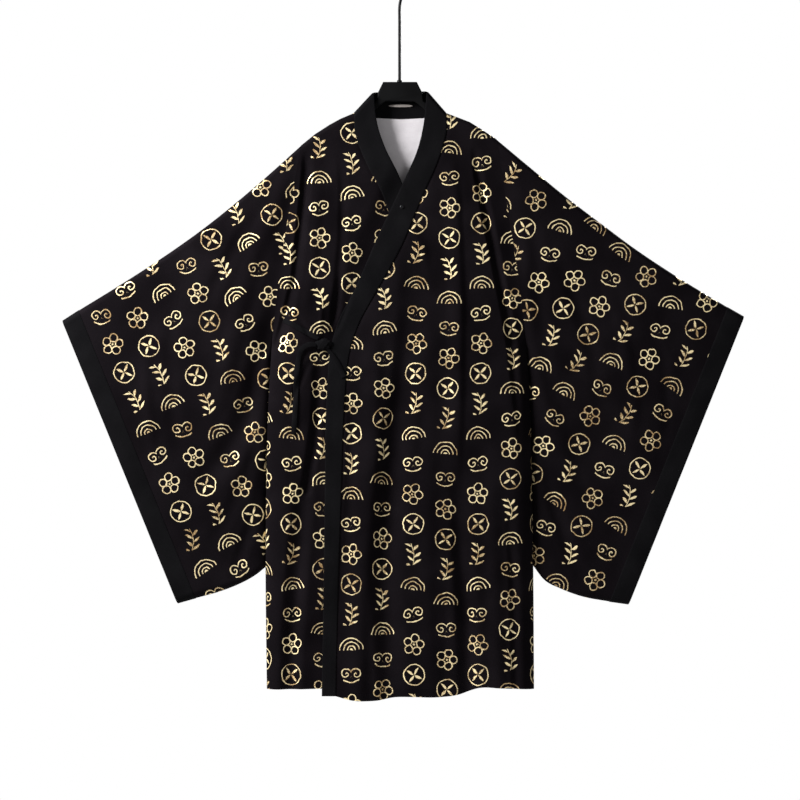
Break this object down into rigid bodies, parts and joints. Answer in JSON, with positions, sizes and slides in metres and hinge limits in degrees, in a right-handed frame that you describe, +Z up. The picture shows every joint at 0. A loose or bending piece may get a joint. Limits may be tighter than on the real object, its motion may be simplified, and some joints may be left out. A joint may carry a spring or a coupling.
{
  "type": "hanfu cloak on hanger",
  "caption": "Crossed-collar hanfu cloak with very wide sleeves and a side tie, hanging flat on a slim hanger with a wire hook.",
  "frame": {"origin": "where a rail touches the inside of the hanger's hook", "axes": "+Z up along the hanging cloak, +X to the viewer's right (the wearer's left), the front faces -Y"},
  "size_m": [1.295, 0.0751, 1.3948],
  "materials": {
    "printed_cloth": "matte woven cloth with a gold foil print",
    "band_cloth": "matte black woven cloth",
    "label_cloth": "plain woven tape",
    "hanger_black": "satin black",
    "hook_black": "black enamel",
    "snap_metal": "black enamel"
  },
  "bodies": {
    "root": {"back": "printed_cloth", "front_right": "printed_cloth", "front_left": "printed_cloth", "sleeve_right": "printed_cloth", "sleeve_left": "printed_cloth", "cuff_right": "band_cloth", "cuff_left": "band_cloth", "band_neck": "band_cloth", "band_right": "band_cloth", "band_left": "band_cloth", "tie_side": "band_cloth", "tie_long_end": "band_cloth", "tie_short_end": "band_cloth", "tie_knot": "band_cloth", "snap": "snap_metal", "label": "label_cloth", "hanger": "hanger_black", "hook": "hook_black"}
  },
  "joints": []
}
